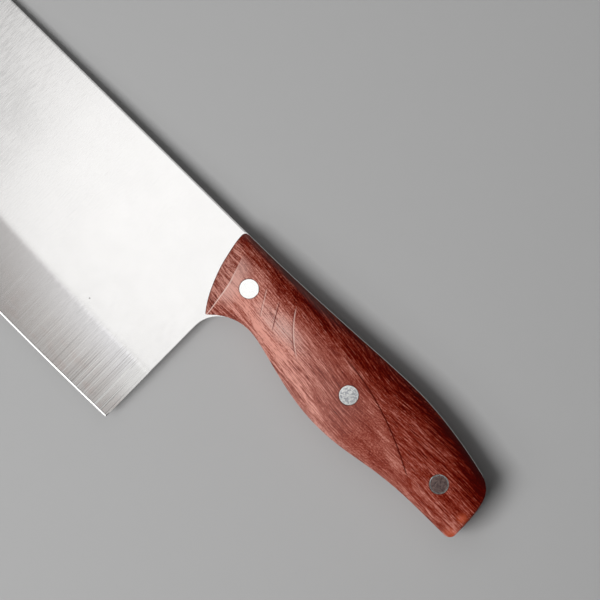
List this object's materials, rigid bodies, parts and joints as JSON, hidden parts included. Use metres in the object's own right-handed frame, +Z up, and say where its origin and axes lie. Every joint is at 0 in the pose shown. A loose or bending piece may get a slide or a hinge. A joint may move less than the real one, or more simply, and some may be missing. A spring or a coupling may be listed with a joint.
{
  "type": "kitchen cleaver",
  "caption": "Wide-bladed full-tang kitchen cleaver with a ground bevel along its edge and contoured hardwood scales held by flush rivets.",
  "frame": {"origin": "under the middle of the whole knife, on the plane that touches the right scale's crown", "axes": "+X from the blade to the butt of the handle, +Y from the cutting edge to the spine, +Z up through the blade's left face"},
  "size_m": [0.3058, 0.0844, 0.0202],
  "materials": {
    "blade_steel": "satin, with fine grinding lines across the bevel",
    "hardwood": "satin, reddish brown with fine dark pores along the handle",
    "rivet_steel": "ground flush with the wood"
  },
  "bodies": {
    "root": {"blade": "blade_steel", "left_scale": "hardwood", "right_scale": "hardwood", "front_rivet_socket": "rivet_steel", "front_rivet_pin": "rivet_steel", "middle_rivet_socket": "rivet_steel", "middle_rivet_pin": "rivet_steel", "rear_rivet_socket": "rivet_steel", "rear_rivet_pin": "rivet_steel"}
  },
  "joints": []
}
